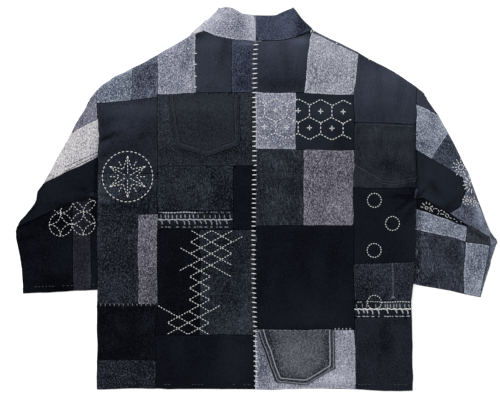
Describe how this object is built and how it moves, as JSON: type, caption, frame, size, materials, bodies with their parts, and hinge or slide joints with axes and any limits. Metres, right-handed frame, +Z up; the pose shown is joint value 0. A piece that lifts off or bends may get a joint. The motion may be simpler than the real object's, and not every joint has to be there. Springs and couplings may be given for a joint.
{
  "type": "patched boro jacket",
  "caption": "Boxy jacket pieced from old denim scraps with a stand collar and wide bent sleeves, laid flat face down, back uppermost.",
  "frame": {"origin": "middle of the bounding box's floor, on the surface that the jacket lies on", "axes": "+X towards the jacket's right as seen from above its back, across the body from elbow to elbow; +Y from hem to collar; +Z up, out of the back"},
  "size_m": [1.0106, 0.804, 0.0131],
  "materials": {
    "black": "matt black denim, washed",
    "navy": "matt near-black navy twill",
    "indigo": "matt dark indigo denim",
    "charcoal": "matt charcoal denim, lightly faded",
    "coal": "matt charcoal denim with upright streaks",
    "soot": "matt dark grey denim, mottled",
    "denim_dark": "matt dark grey denim, speckled",
    "slate": "matt mid-grey denim, faded",
    "lilac": "matt grey denim with a lilac cast",
    "ash": "matt light grey denim, mottled",
    "mist": "matt light blue-grey denim, mottled",
    "pale": "matt very light grey denim",
    "seam_strip": "matt dark denim with a faded felled seam",
    "under": "matt near-black cotton",
    "thread": "matt off-white cotton thread"
  },
  "bodies": {
    "root": {"back_l_blade_navy": "navy", "back_l_felled_strip": "seam_strip", "back_l_hem_black": "black", "back_l_hem_navy": "navy", "back_l_hem_slate": "denim_dark", "back_l_lattice_black": "black", "back_l_lattice_soot": "soot", "back_l_low_ash": "lilac", "back_l_low_slate": "denim_dark", "back_l_middle_black": "black", "back_l_middle_soot": "soot", "back_l_pocket_panel": "charcoal", "back_l_shoulder_pale": "mist", "back_l_shoulder_slate": "slate", "back_l_waist_soot": "soot", "back_l_yoke_indigo": "indigo", "back_l_yoke_navy": "navy", "back_l_yoke_pale": "ash", "back_r_felled_strip": "seam_strip", "back_r_hem_ash": "ash", "back_r_hem_navy": "navy", "back_r_hexagon_ash": "ash", "back_r_hexagon_black": "black", "back_r_low_black": "black", "back_r_middle_coal": "coal", "back_r_middle_lilac": "lilac", "back_r_shoulder_navy": "navy", "back_r_side_black": "black", "back_r_side_coal": "coal", "back_r_side_denim": "denim_dark", "back_r_yoke_navy": "navy", "back_r_yoke_pale": "mist", "collar_l": "ash", "collar_r": "indigo", "forearm_l_inner_black": "black", "forearm_l_outer_black": "black", "forearm_l_strip_denim": "denim_dark", "forearm_r_elbow_black": "black", "forearm_r_inner_denim": "denim_dark", "forearm_r_outer_pale": "mist", "forearm_r_top_black": "black", "forearm_r_upper_pale": "mist", "front_l": "under", "front_l_shoulder_edge": "pale", "front_r": "under", "front_r_shoulder_edge": "navy", "pocket_lower": "slate", "pocket_upper": "charcoal", "sleeve_l_cap_slate": "slate", "sleeve_l_elbow_black": "black", "sleeve_l_under": "under", "sleeve_l_upper_white": "pale", "sleeve_r_cap_navy": "navy", "sleeve_r_elbow_black": "black", "sleeve_r_elbow_slate": "slate", "sleeve_r_under": "slate", "sleeve_r_upper_indigo": "indigo", "sleeve_r_upper_pale": "mist"}
  },
  "joints": []
}
